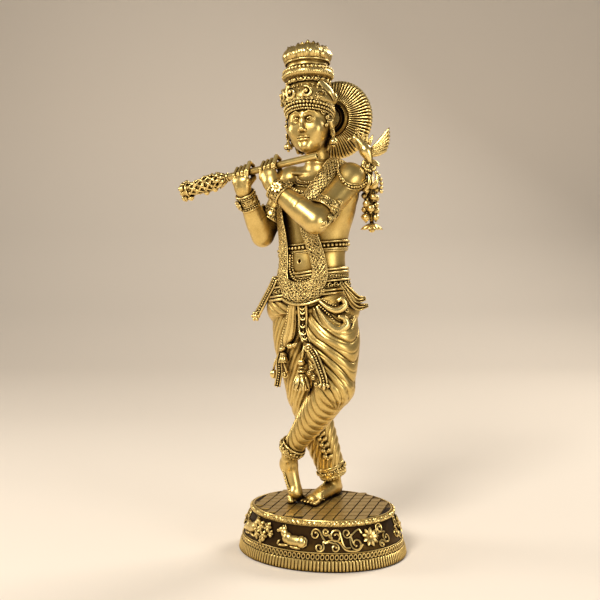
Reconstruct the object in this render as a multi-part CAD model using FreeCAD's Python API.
"""Cast brass figurine: a standing flute player with crossed legs on an oval plinth.

Frame: +Z up, the figure faces -Y, its left side is +X. The origin is the centre of the
felt's underside, where the plinth rests. Units are millimetres.

The figure is an assembly of solid castings brazed at flat or dowelled seams, held to a
hollow plinth by two studs. The flute is a loose tube that slides out of both hands.
"""
import FreeCAD, Part
import math
import os

V = FreeCAD.Vector
os.makedirs("parts", exist_ok=True)

# ---- driving dimensions -------------------------------------------------------------
BASE_RATIO = 0.87          # depth over width of every oval of the plinth
BASE_HALF = 51.6           # half width of the plinth at its fluted foot
DECK_Z = 27.2              # top of the plinth, where the feet stand
FIGURE_DECK_Z = 26.0       # the deck's height in the figure's own coordinates
RISE = DECK_Z - FIGURE_DECK_Z      # lifts the finished figure onto the deck
DECK_THICK = 3.0
WALL = 2.4
FELT_THICK = 1.0
COVER_THICK = 1.5
RIM_LIFT = 0.3             # the shell's rim clears the table, the felt carries the weight
FIT = 0.05                 # radial clearance of dowels, studs and screws
TOUCH = 0.02               # hairline gap between brazed castings

FLUTE_R = 2.1
FLUTE_BORE_R = 1.25
FLUTE_LENGTH = 58.6
FLUTE_MOUTH = V(9.5, -23.0, 232.0)
FLUTE_DIR = V(-0.981, -0.085, -0.171).normalize()
HAND_BORE_R = FLUTE_R + 0.06

HEAD_CENTRE = V(-5.0, -6.0, 254.7)
HEAD_UP = V(-0.08, 0.06, 0.995)
HEAD_SEMI = (12.9, 15.0, 18.5)
CROWN_SEAT = 8.0           # height of the crown's seat above the head's centre

HALO_CENTRE = V(-2.0, 22.5, 259.0)
HALO_R = 24.3
HALO_HUB_R = 11.0

# joints of the limbs
HIP_Z = 146.0
WAIST_Z = 166.0
NECK_Z = 228.0
R_HIP, R_KNEE, R_ANKLE = V(-19.5, 1.0, HIP_Z), V(-14.5, 5.6, 90.0), V(-3.4, 20.3, 40.0)
L_HIP, L_KNEE, L_ANKLE = V(5.5, -1.5, HIP_Z), V(13.5, -9.5, 98.0), V(-18.3, -6.5, 57.0)
R_SHOULDER, R_ELBOW, R_WRIST = V(-21.5, 2.0, 220.0), V(-35.0, -11.0, 187.5), V(-37.0, -28.0, 212.0)
L_SHOULDER, L_ELBOW, L_WRIST = V(17.8, 2.0, 219.8), V(10.2, -27.0, 194.5), V(-15.0, -29.8, 213.5)
R_GRIP = FLUTE_MOUTH + FLUTE_DIR * 48.4
L_GRIP = FLUTE_MOUTH + FLUTE_DIR * 30.5
L_ARM_RADII = (8.4, 6.7, 5.0)      # shoulder, elbow, wrist
R_ARM_RADII = (8.0, 6.4, 4.7)

# horizontal ovals of the torso: height, centre x, centre y, half width, half depth
TORSO = [
    (WAIST_Z, -6.8, -0.5, 22.0, 16.5),
    (172.0, -6.6, -0.5, 21.0, 15.5),
    (188.0, -5.0, 0.0, 22.0, 15.5),
    (203.0, -2.5, 0.0, 24.0, 15.5),
    (215.0, -1.0, 1.0, 22.5, 13.0),
    (223.0, -1.0, 1.5, 15.0, 10.0),
    (NECK_Z, -1.5, 1.0, 8.0, 7.5),
]
GARLAND_R = 2.6            # bead radii of the garlands and the collar
SCARF_R = 3.1
COLLAR_R = 1.6
BELLY_BAND_Z = 179.5
BELT_Z = 163.0


# ---- helpers ------------------------------------------------------------------------
def oval(z, cx, cy, a, b):
    """A horizontal ellipse as a wire."""
    if a >= b:
        curve = Part.Ellipse(V(cx, cy, z), a, b)
    else:
        curve = Part.Ellipse(V(cx, cy + b, z), V(cx + a, cy, z), V(cx, cy, z))
    return Part.Wire([curve.toShape()])


def base_oval(z, a):
    return oval(z, 0.0, 0.0, a, a * BASE_RATIO)


def loft(wires, ruled=False):
    return Part.makeLoft(wires, True, ruled)


def ring_wire(centre, direction, r):
    return Part.Wire([Part.Circle(centre, direction, r).toShape()])


def limb(points, radii):
    """A round, gently bent limb through the points."""
    wires = []
    for i, p in enumerate(points):
        before = points[max(i - 1, 0)]
        after = points[min(i + 1, len(points) - 1)]
        wires.append(ring_wire(p, after - before, radii[i]))
    return loft(wires)


def cone(a, b, ra, rb):
    """A straight tapered rod from a to b."""
    if abs(ra - rb) < 1e-6:
        return Part.makeCylinder(ra, (b - a).Length, a, b - a)
    return Part.makeCone(ra, rb, (b - a).Length, a, b - a)


def ball(centre, r):
    return Part.makeSphere(r, centre)


def tube(a, b, outer, inner):
    return cone(a, b, outer, outer).cut(cone(a, b, inner, inner))


def along(a, b, share):
    return a + (b - a) * share


def ellipsoid(centre, semi, up=V(0, 0, 1)):
    """An ellipsoid with its third half axis along up."""
    shape = Part.makeSphere(1.0)
    grow = FreeCAD.Matrix()
    grow.scale(*semi)
    shape = shape.transformGeometry(grow)
    shape.Placement = FreeCAD.Placement(centre, FreeCAD.Rotation(V(0, 0, 1), up))
    return shape


def lathe(origin, axis, profile):
    """A solid of revolution: profile holds (radius, height) pairs, closed onto the axis."""
    points = [V(0, 0, profile[0][1])] + [V(r, 0, h) for r, h in profile] + [V(0, 0, profile[-1][1])]
    face = Part.Face(Part.makePolygon(points + [points[0]]))
    solid = face.revolve(V(0, 0, 0), V(0, 0, 1), 360)
    solid.Placement = FreeCAD.Placement(origin, FreeCAD.Rotation(V(0, 0, 1), axis))
    return solid


def oval_ring(z_low, z_high, cx, cy, a, b, thick):
    """A flat band round an oval of half axes a and b."""
    outer = loft([oval(z_low, cx, cy, a + thick, b + thick), oval(z_high, cx, cy, a + thick, b + thick)])
    inner = loft([oval(z_low - 1, cx, cy, a, b), oval(z_high + 1, cx, cy, a, b)])
    return outer.cut(inner)


def half_space(point, normal, size=200.0):
    """A big block that fills the side of the plane the normal points to."""
    block = Part.makeBox(size, size, size, V(-size / 2, -size / 2, 0))
    block.Placement = FreeCAD.Placement(point, FreeCAD.Rotation(V(0, 0, 1), normal))
    return block


def head_point(x, y, z):
    """A point given beside, behind and above the head's centre."""
    side = V(0, 1, 0).cross(HEAD_UP).normalize()
    back = HEAD_UP.cross(side)
    return HEAD_CENTRE + side * x + back * y + HEAD_UP * z


def save(name, *shapes, rise=RISE):
    """Writes one node, lifted onto the deck: each shape must be a valid closed solid."""
    solids = [s for shape in shapes for s in shape.Solids]
    for s in solids:
        if not s.isValid() or s.Volume <= 0:
            print("CHECK", name, "has a bad solid")
    node = solids[0] if len(solids) == 1 else Part.makeCompound(solids)
    lifted = node.copy()
    lifted.translate(V(0, 0, rise))
    lifted.exportStep("parts/" + name + ".step")
    NODES[name] = node
    print(f"{name}: {len(solids)} solid(s), {sum(s.Volume for s in solids):.0f} mm3")
    return node


NODES = {}


# ---- plinth -------------------------------------------------------------------------
SCREW_SPOTS = [(sx * 30.0, sy * 22.0) for sx in (-1, 1) for sy in (-1, 1)]
BOSS_R = 3.6
SCREW_R = 1.4
SCREW_HEAD_R = 2.6
SCREW_LENGTH = 9.0
COVER_TOP = FELT_THICK + COVER_THICK
COVER_HALF = BASE_HALF - WALL - 0.6
R_STUD = V(-5.0, 17.5, 0)
L_STUD = V(-15.4, -4.6, 0)
STUDS = [(R_STUD, 2.0, 39.2), (L_STUD, 1.5, 32.2)]      # place, radius, top
WASHER_THICK = 0.8
NUT_THICK = 3.0
STUD_BOTTOM = DECK_Z - DECK_THICK - WASHER_THICK - NUT_THICK - 1.2


def plinth_outline():
    """Heights and half widths of the outside: foot, bead step, drum and rim."""
    return [
        (RIM_LIFT, BASE_HALF - 0.8), (1.4, BASE_HALF), (6.2, BASE_HALF), (7.0, BASE_HALF - 1.2),
        (10.2, BASE_HALF - 1.8), (10.6, BASE_HALF - 2.4), (23.8, BASE_HALF - 8.2),
        (24.4, BASE_HALF - 7.6), (26.6, BASE_HALF - 7.8), (DECK_Z, BASE_HALF - 8.8),
    ]


def base_shell():
    outer = loft([base_oval(z, a) for z, a in plinth_outline()], True)
    under_deck = DECK_Z - DECK_THICK
    hollow = loft([base_oval(RIM_LIFT - 1, BASE_HALF - WALL), base_oval(COVER_TOP, BASE_HALF - WALL),
                   base_oval(8.0, BASE_HALF - WALL - 1.2), base_oval(under_deck,
                                                                     BASE_HALF - WALL - 8.8)], True)
    shell = outer.cut(hollow)
    for x, y in SCREW_SPOTS:
        boss = cone(V(x, y, COVER_TOP), V(x, y, under_deck + 1), BOSS_R, BOSS_R)
        shell = shell.fuse(boss)
    for x, y in SCREW_SPOTS:
        shell = shell.cut(cone(V(x, y, 0), V(x, y, COVER_TOP + SCREW_LENGTH), SCREW_R + FIT, SCREW_R + FIT))
    for place, r, _ in STUDS:
        hole = r + FIT
        shell = shell.cut(cone(place + V(0, 0, under_deck - 1), place + V(0, 0, DECK_Z + 1), hole, hole))
    return shell.removeSplitter()


def screw(x, y):
    head_height = COVER_THICK - 0.1
    head = cone(V(x, y, FELT_THICK), V(x, y, FELT_THICK + head_height), SCREW_HEAD_R, SCREW_R)
    shank = cone(V(x, y, FELT_THICK + head_height), V(x, y, COVER_TOP + SCREW_LENGTH - 1), SCREW_R, SCREW_R)
    slot = Part.makeBox(3.6, 0.6, 0.5, V(x - 1.8, y - 0.3, FELT_THICK))
    return head.fuse(shank).cut(slot)


def base_cover():
    plate = loft([base_oval(FELT_THICK, COVER_HALF), base_oval(COVER_TOP, COVER_HALF)], True)
    for x, y in SCREW_SPOTS:
        sink = cone(V(x, y, FELT_THICK), V(x, y, COVER_TOP), SCREW_HEAD_R + FIT, SCREW_R + FIT)
        plate = plate.cut(sink)
    return plate


def nut(place, r):
    flats = 2.0 * r + 3.0
    low = DECK_Z - DECK_THICK - WASHER_THICK - NUT_THICK
    corners = [V(flats / math.sqrt(3) * math.cos(math.radians(60 * i)),
                 flats / math.sqrt(3) * math.sin(math.radians(60 * i)), 0) for i in range(7)]
    prism = Part.Face(Part.makePolygon(corners)).extrude(V(0, 0, NUT_THICK))
    prism.translate(place + V(0, 0, low))
    return prism.cut(cone(place + V(0, 0, low - 1), place + V(0, 0, low + NUT_THICK + 1), r + FIT, r + FIT))


def washer(place, r):
    top = DECK_Z - DECK_THICK
    return tube(place + V(0, 0, top - WASHER_THICK), place + V(0, 0, top), r + 3.0, r + FIT)


def build_plinth():
    save("base_shell", base_shell(), rise=0)
    save("base_cover", base_cover(), rise=0)
    save("felt_pad", loft([base_oval(0, COVER_HALF), base_oval(FELT_THICK, COVER_HALF)], True), rise=0)
    save("cover_screws", *[screw(x, y) for x, y in SCREW_SPOTS], rise=0)
    save("foot_studs", *[cone(p + V(0, 0, STUD_BOTTOM), p + V(0, 0, top), r, r) for p, r, top in STUDS],
         rise=0)
    save("stud_washers", *[washer(p, r) for p, r, _ in STUDS], rise=0)
    save("stud_nuts", *[nut(p, r) for p, r, _ in STUDS], rise=0)


# ---- lower body ---------------------------------------------------------------------
def stud_hole(shape, index):
    place, r, top = STUDS[index]
    return shape.cut(cone(place + V(0, 0, FIGURE_DECK_Z - 5), place + V(0, 0, top - RISE + 0.3), r + FIT,
                          r + FIT))


def dowel_pair():
    """Vertical dowels between the hips and each thigh."""
    length = 7.0
    return [cone(p - V(0, 0, length), p + V(0, 0, length), 3.0, 3.0) for p in (R_HIP, L_HIP)]


def dowel_holes(shape):
    length = 7.3
    for p in (R_HIP, L_HIP):
        shape = shape.cut(cone(p - V(0, 0, length), p + V(0, 0, length), 3.0 + FIT, 3.0 + FIT))
    return shape


def right_leg():
    """The standing leg in its cloth, from the hip seam to the cuff above the ankle."""
    points = [R_HIP, along(R_HIP, R_KNEE, 0.45) + V(-1.0, 0, 0), R_KNEE,
              along(R_KNEE, R_ANKLE, 0.45) + V(1.5, 0, 0), R_ANKLE]
    leg = limb(points, [14.0, 14.2, 10.5, 8.8, 6.6])
    leg = leg.cut(half_space(V(0, 0, HIP_Z - TOUCH), V(0, 0, 1)))
    return leg.cut(half_space(R_ANKLE, R_ANKLE - R_KNEE))


def left_leg():
    """The crossing leg in its cloth."""
    thigh = limb([L_HIP, along(L_HIP, L_KNEE, 0.5) + V(2.0, 0, 0), L_KNEE], [15.0, 15.2, 11.2])
    thigh = thigh.cut(half_space(V(0, 0, HIP_Z - TOUCH), V(0, 0, 1)))
    shin = cone(L_KNEE, L_ANKLE, 10.6, 5.6)
    leg = thigh.fuse(ball(L_KNEE, 11.0)).fuse(shin)
    return leg.cut(half_space(L_ANKLE, L_ANKLE - L_KNEE))


def right_foot():
    """Bare foot flat on the deck, toes towards the front."""
    heel, toe = V(-4.5, 28.5, 0), V(-5.6, -8.0, 0)
    stations = [(0.0, 4.2, 7.5), (0.25, 5.2, 10.5), (0.45, 5.4, 9.0), (0.7, 6.0, 6.0), (0.9, 5.6, 4.2),
                (1.0, 3.6, 2.6)]
    wires = []
    for share, half, height in stations:
        p = along(heel, toe, share) + V(0, 0, FIGURE_DECK_Z)
        arch = [V(p.x - half, p.y, p.z), V(p.x - half * 0.8, p.y, p.z + height * 0.7),
                V(p.x, p.y, p.z + height),
                V(p.x + half * 0.8, p.y, p.z + height * 0.7), V(p.x + half, p.y, p.z)]
        wires.append(Part.makePolygon(arch + [arch[0]]))
    foot = loft(wires)
    shank = R_ANKLE - R_KNEE
    ankle = cone(V(-4.8, 21.5, FIGURE_DECK_Z + 5.0), R_ANKLE, 5.4, 5.0)
    foot = foot.fuse(ankle).fuse(ball(V(-4.8, 21.5, FIGURE_DECK_Z + 5.0), 5.4))
    foot = foot.cut(half_space(R_ANKLE, shank * -1.0)).cut(half_space(V(0, 0, FIGURE_DECK_Z), V(0, 0, -1)))
    return stud_hole(foot, 0)


def left_foot():
    """Bare foot standing on its toes beside the other, sole to the back and outside."""
    toe = V(-15.4, -5.2, FIGURE_DECK_Z)
    ball_of_foot = V(-15.6, -5.0, FIGURE_DECK_Z + 6.0)
    heel = V(-23.0, -2.5, 50.0)
    arch = V(-19.0, -4.0, 40.0)
    foot = cone(toe, ball_of_foot, 4.6, 4.8).fuse(ball(ball_of_foot, 4.8))
    foot = foot.fuse(cone(ball_of_foot, arch, 4.6, 4.8)).fuse(ball(arch, 4.8))
    foot = foot.fuse(cone(arch, heel, 4.8, 4.4)).fuse(ball(heel, 4.6))
    foot = foot.fuse(cone(arch, L_ANKLE, 4.8, 4.9))
    foot = foot.cut(half_space(V(0, 0, FIGURE_DECK_Z), V(0, 0, -1)))
    foot = foot.cut(half_space(L_ANKLE, L_KNEE - L_ANKLE))
    return stud_hole(foot, 1)


def cuff(knee, ankle, r, length):
    """A patterned band round the cloth's end just above the ankle."""
    direction = (ankle - knee).normalize()
    return tube(ankle - direction * length, ankle, r + 3.2, r)


def build_lower_body():
    hips = loft([oval(HIP_Z, -7.0, -1.0, 25.5, 19.5), oval(154.0, -7.0, -0.5, 24.5, 18.5),
                 oval(WAIST_Z - TOUCH, -6.8, -0.5, 22.0, 16.5)])
    hips = dowel_holes(hips)
    left = dowel_holes(left_leg())
    between = half_space(along(R_HIP, L_HIP, 0.5), R_HIP - L_HIP)
    left = left.cut(between)
    right = dowel_holes(right_leg().cut(half_space(along(R_HIP, L_HIP, 0.5) - V(TOUCH, 0, 0),
                                                   L_HIP - R_HIP)))
    r_cuff = cuff(R_KNEE, R_ANKLE, 6.0, 6.5)
    l_cuff = cuff(L_KNEE, L_ANKLE, 5.0, 5.0)
    r_cuff = r_cuff.cut(right)
    l_cuff = l_cuff.cut(left)
    save("hips", hips)
    save("left_leg", left)
    save("right_leg", right)
    save("hip_dowels", *dowel_pair())
    flat_foot = right_foot()
    save("right_foot", flat_foot)
    save("left_foot", left_foot().cut(flat_foot))
    save("right_ankle_cuff", r_cuff)
    save("left_ankle_cuff", l_cuff)


# ---- upper body ---------------------------------------------------------------------
def torso():
    body = loft([oval(*row) for row in TORSO])
    return body


def arm(shoulder, elbow, wrist, radii):
    upper = cone(shoulder, elbow, radii[0], radii[1])
    fore = cone(elbow, wrist, radii[1], radii[2])
    return ball(shoulder, radii[0]).fuse(upper).fuse(ball(elbow, radii[1])).fuse(fore)


def hand(wrist, grip, wrist_r, grip_r, elbow):
    """A closed hand bored for the flute."""
    palm = cone(wrist, along(wrist, grip, 0.7), wrist_r, grip_r * 0.85)
    fist = ellipsoid(grip, (grip_r, grip_r, grip_r * 1.12), grip - wrist)
    whole = palm.fuse(fist).cut(half_space(wrist, elbow - wrist))
    bore = cone(grip - FLUTE_DIR * 20, grip + FLUTE_DIR * 20, HAND_BORE_R, HAND_BORE_R)
    return whole.cut(bore)


def bangle(a, b, r, inner):
    return tube(a, b, r, inner)


def shoulder_dowel(shoulder, side):
    return cone(shoulder - V(side * 6.0, 0, 0), shoulder + V(side * 4.0, 0, 0), 2.0, 2.0)


def build_upper_body():
    body = torso()
    left = arm(L_SHOULDER, L_ELBOW, L_WRIST, L_ARM_RADII).cut(body)
    right = arm(R_SHOULDER, R_ELBOW, R_WRIST, R_ARM_RADII).cut(body)
    left = left.cut(half_space(L_WRIST, L_WRIST - L_ELBOW))
    right = right.cut(half_space(R_WRIST, R_WRIST - R_ELBOW))
    left, right = biggest(left), biggest(right)
    dowels = [shoulder_dowel(L_SHOULDER, 1), shoulder_dowel(R_SHOULDER, -1)]
    neck_dowel = cone(V(-1.6, 1.0, NECK_Z - 7), V(-1.6, 1.0, NECK_Z + 6), 2.0, 2.0)
    for pin in dowels:
        hole = grown_pin(pin, 2.0 + FIT)
        body, left, right = body.cut(hole), left.cut(hole), right.cut(hole)
    body = body.cut(cone(V(-1.6, 1.0, NECK_Z - 7.3), V(-1.6, 1.0, NECK_Z + 6), 2.0 + FIT, 2.0 + FIT))
    save("torso", body)
    save("left_arm", left)
    save("right_arm", right)
    save("shoulder_dowels", *dowels)
    save("neck_dowel", neck_dowel)
    save("left_hand", hand(L_WRIST, L_GRIP, 4.8, 6.4, L_ELBOW))
    save("right_hand", hand(R_WRIST, R_GRIP, 4.5, 5.6, R_ELBOW))
    for name, elbow, wrist, r in (("left", L_ELBOW, L_WRIST, L_ARM_RADII[2]),
                                  ("right", R_ELBOW, R_WRIST, R_ARM_RADII[2])):
        start = along(elbow, wrist, 0.66)
        whole = bangle(start, along(elbow, wrist, 0.97), r + 2.2, r - 0.5)
        save(name + "_bracelet", whole.cut(NODES[name + "_arm"]))
    for name, shoulder, elbow, r in (("left", L_SHOULDER, L_ELBOW, 7.4),
                                     ("right", R_SHOULDER, R_ELBOW, 7.0)):
        start = along(shoulder, elbow, 0.62)
        whole = bangle(start, along(shoulder, elbow, 0.74), r + 1.8, r - 1.5)
        save(name + "_armlet", biggest(whole.cut(NODES[name + "_arm"]).cut(body)))
    return body


def biggest(shape):
    """The largest solid of a shape, without the slivers a cut leaves."""
    return max(shape.Solids, key=lambda s: s.Volume)


def grown_pin(pin, r):
    """A cylinder on the pin's axis with radius r, to cut its hole."""
    box = pin.BoundBox
    low = V(box.XMin - 0.3, (box.YMin + box.YMax) / 2, (box.ZMin + box.ZMax) / 2)
    high = V(box.XMax + 0.3, low.y, low.z)
    return cone(low, high, r, r)


# ---- head and crown -----------------------------------------------------------------
def head():
    skull = ellipsoid(HEAD_CENTRE, HEAD_SEMI, HEAD_UP)
    neck = limb([V(-1.5, 1.0, NECK_Z + TOUCH), V(-2.6, -0.6, 234.0), V(-4.2, -3.0, 243.0)], [7.2, 6.8, 7.2])
    jaw = ellipsoid(head_point(0, -5.5, -12.0), (6.8, 6.5, 8.5), HEAD_UP)
    whole = skull.fuse(neck).fuse(jaw)
    whole = whole.cut(half_space(head_point(0, 0, CROWN_SEAT), HEAD_UP))
    whole = whole.cut(half_space(V(0, 0, NECK_Z + TOUCH), V(0, 0, -1)))
    hole = cone(V(-1.6, 1.0, NECK_Z - 1), V(-1.6, 1.0, NECK_Z + 6.3), 2.0 + FIT, 2.0 + FIT)
    spigot = cone(head_point(0, 0, CROWN_SEAT - 5.3), head_point(0, 0, CROWN_SEAT + 1), 4.0 + FIT,
                  4.0 + FIT)
    return whole.cut(hole).cut(spigot)


def crown_cap():
    """The fitted cap with its spigot, up to the seat of the ring."""
    profile = [(4.0, CROWN_SEAT - 5), (4.0, CROWN_SEAT + TOUCH), (16.2, CROWN_SEAT + TOUCH), (16.4, 11.0),
               (15.2, 15.0), (13.0, 19.5), (12.6, 23.0)]
    return lathe(HEAD_CENTRE, HEAD_UP, profile)


def crown_ring():
    profile = [(12.6, 23.0 + TOUCH), (14.6, 24.0), (15.4, 27.0), (14.8, 30.0), (13.0, 31.6)]
    return lathe(HEAD_CENTRE, HEAD_UP, profile)


def crown_lotus():
    """The lotus bud on its neck."""
    profile = [(12.4, 31.6 + TOUCH), (12.2, 33.6), (13.4, 34.6), (14.9, 38.0), (14.4, 41.6), (12.0, 44.6),
               (7.0, 46.8)]
    return lathe(HEAD_CENTRE, HEAD_UP, profile)


def tiara(skull):
    """The bead band round the brow, under the cap."""
    outer = ellipsoid(HEAD_CENTRE, (HEAD_SEMI[0] + 2.6, HEAD_SEMI[1] + 2.4, HEAD_SEMI[2] + 4.0), HEAD_UP)
    band = outer.cut(half_space(head_point(0, 0, CROWN_SEAT), HEAD_UP))
    band = band.cut(half_space(head_point(0, -3, 3.0), HEAD_UP * -1 + V(0, 0.12, 0)))
    return biggest(band.cut(skull).cut(ellipsoid(HEAD_CENTRE, HEAD_SEMI, HEAD_UP)))


def earring(side):
    top, low = head_point(side * 13.6, 0.5, -6.0), head_point(side * 14.0, 0.5, -12.5)
    return cone(top, low, 1.0, 1.6).fuse(ball(low, 2.7))


def halo():
    """A round fan of ribs on a stepped hub, its face to the front."""
    back, front = V(0, 1, 0), V(0, -1, 0)
    disc = lathe(HALO_CENTRE, back, [(HALO_R - 0.6, -1.0), (HALO_R, 0.0), (HALO_R - 0.6, 1.0)])
    hub = lathe(HALO_CENTRE, front, [(HALO_HUB_R, 0.5), (HALO_HUB_R, 2.4), (8.6, 2.6), (8.6, 5.0),
                                     (9.2, 6.0), (7.6, 8.0)])
    return disc.fuse(hub)


def build_head():
    skull = head()
    save("head", skull)
    save("crown_cap", crown_cap())
    save("crown_ring", crown_ring())
    save("crown_lotus", crown_lotus())
    save("tiara", tiara(skull))
    save("left_earring", earring(1))
    save("right_earring", earring(-1))
    save("halo_fan", halo())
    stem = cone(HALO_CENTRE + V(0, -8.0 - TOUCH, 0), V(HALO_CENTRE.x - 1.5, 2.0, HALO_CENTRE.z - 1.0), 6.0,
                6.0)
    touching = (skull, ellipsoid(HEAD_CENTRE, HEAD_SEMI, HEAD_UP), NODES["tiara"], NODES["crown_cap"],
                NODES["halo_fan"])
    save("halo_stem", cut_all(stem, touching))


# ---- flute --------------------------------------------------------------------------
def build_flute():
    far = FLUTE_MOUTH + FLUTE_DIR * FLUTE_LENGTH
    save("flute_tube", tube(FLUTE_MOUTH, far, FLUTE_R, FLUTE_BORE_R))
    plug = cone(far - FLUTE_DIR * 5.0, far + FLUTE_DIR * TOUCH, FLUTE_BORE_R - 0.02, FLUTE_BORE_R - 0.02)
    neck_end = far + V(-8.5, -0.7, -1.6)
    body_end = far + V(-26.0, -2.2, -6.4)
    tip = far + V(-34.0, -3.0, -7.6)
    neck = cone(far + FLUTE_DIR * TOUCH, neck_end, 2.4, 3.0)
    body = ellipsoid(along(neck_end, body_end, 0.5), (5.6, 5.6, (body_end - neck_end).Length * 0.58),
                     body_end - neck_end)
    bell = cone(body_end - (tip - body_end) * 0.15, tip, 4.6, 5.8)
    drops = [cone(body_end + V(1.0, 0, -3.0), body_end + V(0.6, 0, -9.0), 1.8, 2.4),
             cone(along(neck_end, body_end, 0.55) + V(0, 0, -4.2),
                  along(neck_end, body_end, 0.6) + V(0, 0, -8.4), 1.8, 2.2)]
    tassel = plug.fuse(neck).fuse(body).fuse(bell)
    for drop in drops:
        tassel = tassel.fuse(drop)
    save("flute_tassel", tassel)


# ---- jewellery, sashes and the bird --------------------------------------------------
def bead_string(points, r, blockers=()):
    """Touching beads on a path, those that would bite into a blocker cut back to it."""
    beads = [ball(p, r) for p in points]
    for blocker in blockers:
        for solid in blocker.Solids:
            beads = [b for b in beads if not solid.isInside(b.BoundBox.Center, 0.01, True)]
            beads = [s for b in beads for s in clear_of(b, solid).Solids]
    return beads


def clear_of(shape, solid):
    """The shape without what it shares with a solid near it."""
    return shape.cut(solid) if shape.BoundBox.intersect(solid.BoundBox) else shape


def torso_oval(z):
    """Centre and half axes of the torso's oval at a height, between its stations."""
    for low, high in zip(TORSO, TORSO[1:]):
        if low[0] <= z <= high[0]:
            t = (z - low[0]) / (high[0] - low[0])
            return [a + (b - a) * t for a, b in zip(low[1:], high[1:])]
    return list(TORSO[0][1:])


def on_torso(z, angle, lift):
    """A point on the torso: angle 0 is the front, positive towards the figure's left."""
    cx, cy, a, b = torso_oval(z)
    return V(cx + (a + lift) * math.sin(angle), cy - (b + lift) * math.cos(angle), z)


def spaced(points, gap):
    """Points at an even gap along a polyline."""
    out, left = [points[0]], gap
    for a, b in zip(points, points[1:]):
        step = (b - a).Length
        at = left
        while at <= step:
            out.append(a + (b - a) * (at / step))
            at += gap
        left = at - step
    return out


def garland_path():
    """The long garland: down the right side of the chest, round the belly, up to the left."""
    stops = [(222, -0.62), (205, -0.88), (188, -0.95), (172, -0.80), (160, -0.45), (155, -0.05),
             (158, 0.35),
             (170, 0.42), (188, 0.12), (203, 0.05)]
    points = []
    for (z0, a0), (z1, a1) in zip(stops, stops[1:]):
        for i in range(6):
            t = i / 6.0
            points.append(on_torso(max(z0 + (z1 - z0) * t,
                                       166.2) if z0 > 166 and z1 > 166 else z0 + (z1 - z0) * t,
                                   a0 + (a1 - a0) * t, 5.2))
    return points


def build_dress(body):
    hips, left_leg_shape, right_leg_shape = NODES["hips"], NODES["left_leg"], NODES["right_leg"]
    cx, cy, a, b = torso_oval(BELLY_BAND_Z)
    band = oval_ring(BELLY_BAND_Z - 1.8, BELLY_BAND_Z + 1.8, cx, cy, a + 0.25, b + 0.25, 1.2)
    band = biggest(band.cut(body).cut(NODES["left_arm"]).cut(NODES["right_arm"]))
    save("belly_band", band)
    belt = oval_ring(BELT_Z - 3.0, BELT_Z + 2.6, -6.9, -0.5, 23.6, 18.0, 1.6)
    save("waist_belt", belt.cut(hips))
    solids = (body, hips, band, NODES["waist_belt"], NODES["left_arm"], NODES["right_arm"],
              NODES["right_armlet"])
    save("long_garland", *bead_string(spaced(garland_path(), 2.04 * GARLAND_R), GARLAND_R, solids))
    scarf = [V(8.5, 12.5, 226.0), V(9.0, 5.0, 231.5), V(7.5, -6.5, 229.5), V(4.0, -12.5, 221.0),
             V(0.0, -16.5, 212.0),
             V(-2.5, -18.5, 204.0)]
    scarf = spaced(scarf, 2.04 * SCARF_R)
    save("chest_garland", *bead_string(scarf, SCARF_R, solids + (NODES["head"], NODES["long_garland"])))
    collar = [on_torso(226 - 9 * math.cos(t) ** 2, t, 2.4) for t in [i * 0.28 - 1.12 for i in range(9)]]
    free = [p for p in spaced(collar,
                              2.1 * COLLAR_R) if all((p - q).Length > COLLAR_R + SCARF_R for q in scarf)]
    others = solids + (NODES["head"], NODES["long_garland"], NODES["chest_garland"])
    save("collar_beads", *bead_string(free, COLLAR_R, others))
    build_sashes(hips, left_leg_shape, right_leg_shape)
    build_bird(others)


def strip(points, half, thick, normal):
    """A flat ribbon through points, as a loft of thin rectangles square to its run."""
    wires = []
    for i, p in enumerate(points):
        run = points[min(i + 1, len(points) - 1)] - points[max(i - 1, 0)]
        side = run.cross(normal).normalize() * half[i]
        depth = side.cross(run).normalize() * (thick / 2)
        corners = [p - side - depth, p + side - depth, p + side + depth, p - side + depth]
        wires.append(Part.makePolygon(corners + [corners[0]]))
    return loft(wires, True)


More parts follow.
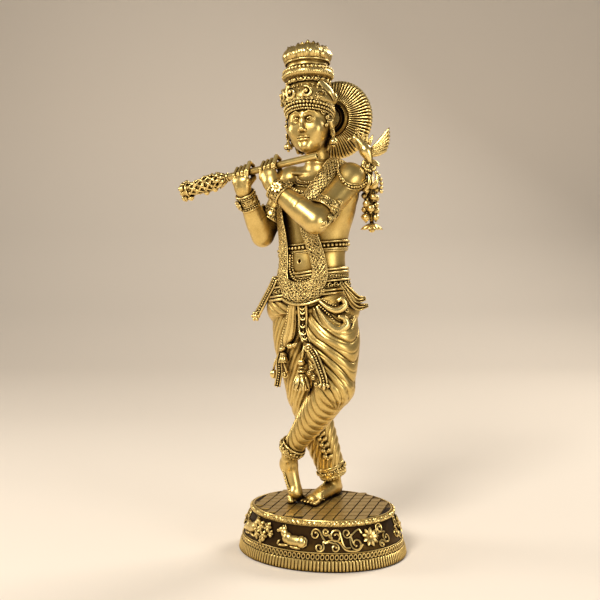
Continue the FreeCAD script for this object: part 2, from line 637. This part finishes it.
def build_sashes(hips, left_leg_shape, right_leg_shape):
    front = V(0, -1, 0)
    blockers = (hips, left_leg_shape, right_leg_shape, NODES["waist_belt"], NODES["long_garland"])
    centre_fold = strip([V(-2.0, -22.5, 153), V(-0.4, -23.6, 144), V(0.8, -23.2, 132), V(3.4, -22.8, 120)],
                        [3.0, 3.6, 3.8, 4.2], 2.4, front)
    save("front_sash", cut_all(centre_fold, blockers))
    right_fold = strip([V(-7.5, -22.5, 154), V(-9.5, -21.8, 142), V(-12.5, -20.0, 128),
                        V(-15.5, -18.5, 112)],
                       [2.2, 3.4, 4.2, 3.4], 2.0, front)
    save("side_sash", cut_all(right_fold, blockers + (NODES["front_sash"],)))
    tail_ball = V(0.0, -20.8, 115.0)
    bell = lathe(tail_ball - V(0, 0, 17), V(0, 0, 1), [(4.2, 0.0), (3.4, 4.0), (1.6, 7.0), (2.4, 9.0),
                                                       (1.0, 14.0)])
    save("sash_tassel", cut_all(bell, blockers + (NODES["front_sash"], NODES["side_sash"])))
    left_tail = strip([V(17.5, -2.0, 161), V(21.5, 0.0, 155), V(24.0, 2.0, 149), V(28.5, 4.0, 145)],
                      [3.6, 4.6, 4.6, 2.6], 2.4, V(0.9, -0.3, 0.3))
    save("left_hip_tail", cut_all(left_tail, blockers))
    right_tail = strip([V(-29.0, -5.0, 161), V(-35.0, -5.0, 154), V(-40.0, -5.0, 147), V(-46.0, -5.0, 141)],
                       [2.6, 3.4, 3.6, 3.0], 2.6, V(-0.4, -0.9, 0.2))
    save("right_hip_tail", cut_all(right_tail, blockers))


def cut_all(shape, blockers):
    for blocker in blockers:
        shape = shape.cut(blocker)
    return biggest(shape)


def build_bird(blockers):
    """A small bird with raised wings behind the left shoulder, over hanging bead strings."""
    centre = V(25.0, 9.0, 237.5)
    trunk = ellipsoid(centre, (3.4, 3.4, 6.0), V(-0.3, 0.0, 1.0))
    trunk = trunk.fuse(ball(centre + V(-2.6, -1.0, 6.8), 2.4))
    foot = cone(centre + V(-1.5, -1.5, -4.0), V(21.0, 5.0, 229.0), 2.0, 2.4)
    wings = [ellipsoid(centre + V(8.5, 1.0, 4.5), (1.6, 4.2, 8.0), V(0.85, 0.1, 0.75)),
             ellipsoid(centre + V(-4.0, 4.0, 7.0), (1.6, 3.6, 7.0), V(-0.25, 0.5, 0.9))]
    bird = trunk.fuse(foot)
    for wing in wings:
        bird = bird.fuse(wing)
    stop = blockers + (NODES["halo_fan"], NODES["left_earring"])
    bird = cut_all(bird, stop)
    save("shoulder_bird", bird)
    knot = V(28.0, 8.0, 227.5)
    cord = cone(knot, knot + V(0.6, 1.5, -38.0), 1.8, 1.8)
    bell = lathe(knot + V(0.6, 1.5, -42.5), V(0, 0, 1), [(5.6, 0.0), (4.6, 2.0), (2.2, 5.5), (1.4, 8.0)])
    hanging = cord.fuse(bell).fuse(ball(knot, 4.2)).fuse(ellipsoid(knot + V(0, 0.5, -9.0), (5.2, 4.6, 6.0)))
    drops = []
    for row, (z, reach) in enumerate([(-20.0, 4.0), (-24.5, 4.2), (-31.0, 3.6)]):
        for i in range(5 - row // 2):
            angle = math.radians(72 * i + 36 * row)
            drops.append(ball(knot + V(reach * math.cos(angle), 1.0 + reach * math.sin(angle), z), 2.1))
    for drop in drops:
        hanging = hanging.fuse(drop)
    save("shoulder_tassel", cut_all(hanging, stop + (bird,)))


build_plinth()
build_lower_body()
torso_shape = build_upper_body()
build_head()
build_flute()
build_dress(torso_shape)
print(len(NODES), "nodes")
